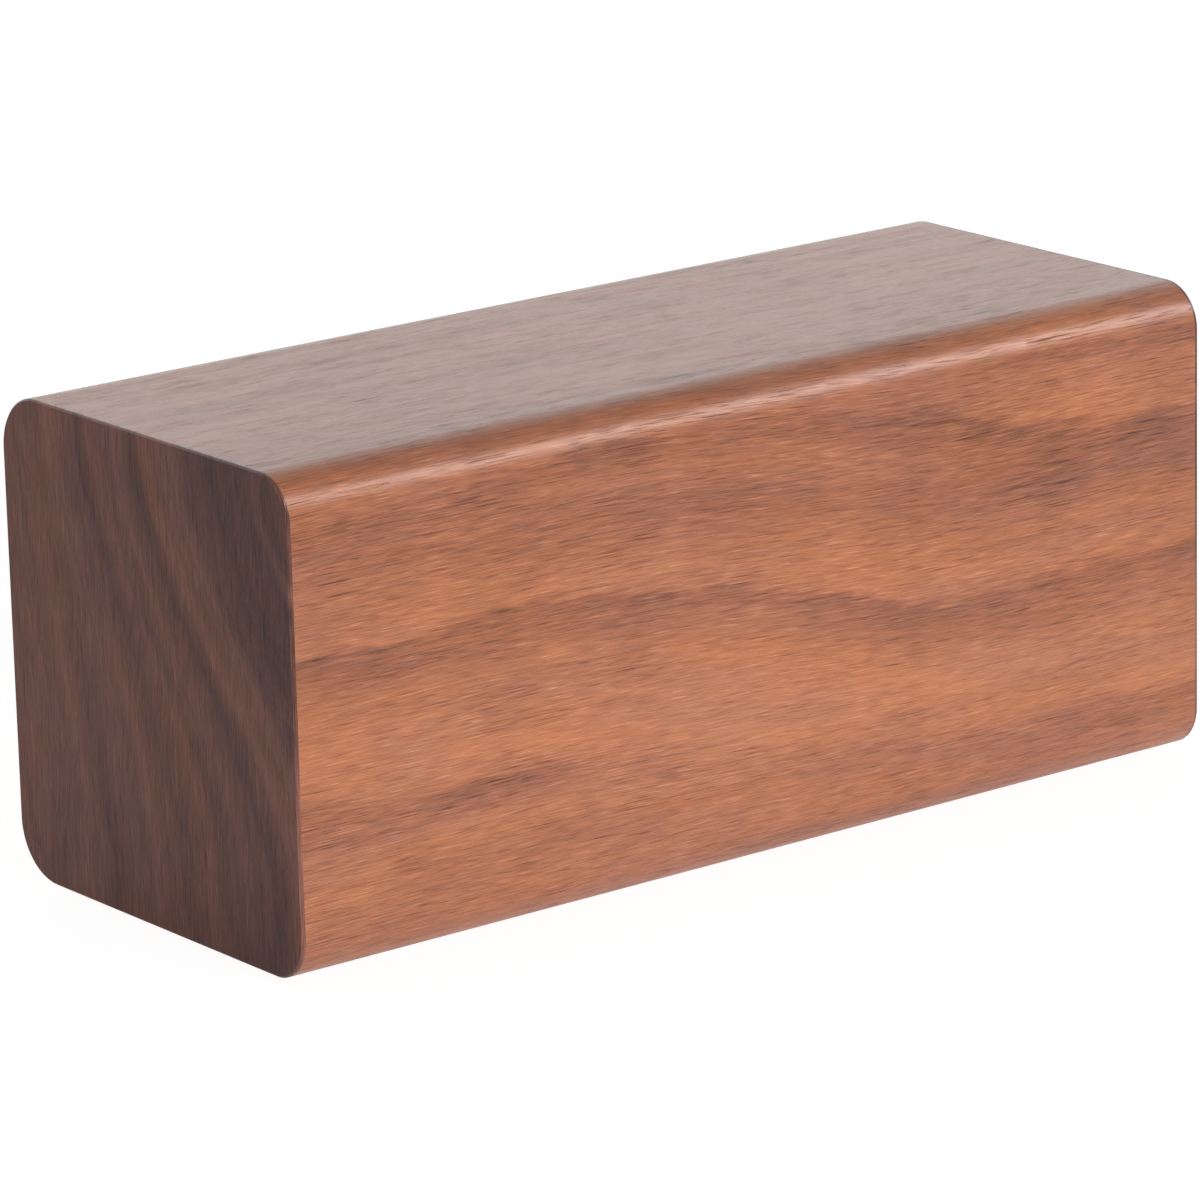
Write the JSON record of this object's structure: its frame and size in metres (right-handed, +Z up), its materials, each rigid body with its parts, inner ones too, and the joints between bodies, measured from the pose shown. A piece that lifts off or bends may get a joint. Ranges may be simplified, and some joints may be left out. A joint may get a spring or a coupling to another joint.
{
  "type": "desk clock",
  "caption": "Rectangular wood-veneered block clock with rounded long edges, a display hidden behind the front veneer, rear push buttons and a hinged battery door underneath.",
  "frame": {"origin": "on the desk, under the middle of the block, between the four feet", "axes": "+X along the block's length, to the right as seen from the front; the front faces -Y; +Z up"},
  "size_m": [0.162, 0.068, 0.0712],
  "materials": {
    "walnut_veneer": "satin lacquered walnut veneer",
    "end_veneer": "satin lacquered dark walnut veneer",
    "fibreboard": "raw medium-density fibreboard",
    "rubber": "matte black rubber",
    "diffuser": "milky translucent plastic",
    "white_plastic": "white moulded plastic",
    "circuit_board": "green solder mask",
    "lamp": "clear resin over yellow phosphor",
    "chip_plastic": "black moulding compound",
    "steel": "zinc plated",
    "black_steel": "black oxide",
    "nickel": "nickel plated",
    "can_aluminium": "drawn can",
    "ribbon_grey": "soft grey jacket",
    "lead_red": "red wire jacket",
    "lead_black": "black wire jacket",
    "black_plastic": "fine spark texture",
    "button_plastic": "smooth satin",
    "plunger_plastic": "smooth",
    "cell_wrap": "plain coloured wrap"
  },
  "bodies": {
    "case": {"front_board": "fibreboard", "back_board": "fibreboard", "top_board": "fibreboard", "bottom_board": "fibreboard", "left_end_panel": "fibreboard", "right_end_panel": "fibreboard", "veneer_wrap": "walnut_veneer", "left_end_veneer": "end_veneer", "right_end_veneer": "end_veneer", "rubber_feet": "rubber", "display_diffuser": "diffuser", "light_baffle": "white_plastic", "display_board": "circuit_board", "segment_leds": "lamp", "display_driver_chip": "chip_plastic", "display_screws": "steel", "control_panel": "black_plastic", "control_panel_screws": "black_steel", "control_board": "circuit_board", "control_board_screws": "steel", "switch_housings": "chip_plastic", "usb_socket_shell": "nickel", "usb_socket_tongue": "chip_plastic", "alarm_buzzer": "chip_plastic", "sound_sensor": "can_aluminium", "clock_chip": "chip_plastic", "timing_crystal": "can_aluminium", "supply_capacitor": "can_aluminium", "ribbon_sockets": "white_plastic", "ribbon_cable": "ribbon_grey", "battery_socket": "white_plastic", "battery_box": "black_plastic", "battery_box_screws": "black_steel", "battery_cells": "cell_wrap", "contact_plates": "nickel", "negative_springs": "nickel", "battery_lead_positive": "lead_red", "battery_lead_negative": "lead_black"},
    "set_button": {"set_button": "button_plastic", "set_switch_plunger": "plunger_plastic"},
    "up_button": {"up_button": "button_plastic", "up_switch_plunger": "plunger_plastic"},
    "down_button": {"down_button": "button_plastic", "down_switch_plunger": "plunger_plastic"},
    "battery_door": {"battery_door": "black_plastic"}
  },
  "joints": [
    {"name": "set_button_press", "type": "slide", "parent": "case", "child": "set_button", "axis": [0, -1, 0], "range_m": [0, 0.0005], "stiffness_N_per_m": 600},
    {"name": "up_button_press", "type": "slide", "parent": "case", "child": "up_button", "axis": [0, -1, 0], "range_m": [0, 0.0005], "stiffness_N_per_m": 600},
    {"name": "down_button_press", "type": "slide", "parent": "case", "child": "down_button", "axis": [0, -1, 0], "range_m": [0, 0.0005], "stiffness_N_per_m": 600},
    {"name": "battery_door_hinge", "type": "hinge", "parent": "case", "child": "battery_door", "pos_m": [0, -0.01775, 0.0024], "axis": [-1, 0, 0], "range_deg": [0, 85]}
  ]
}
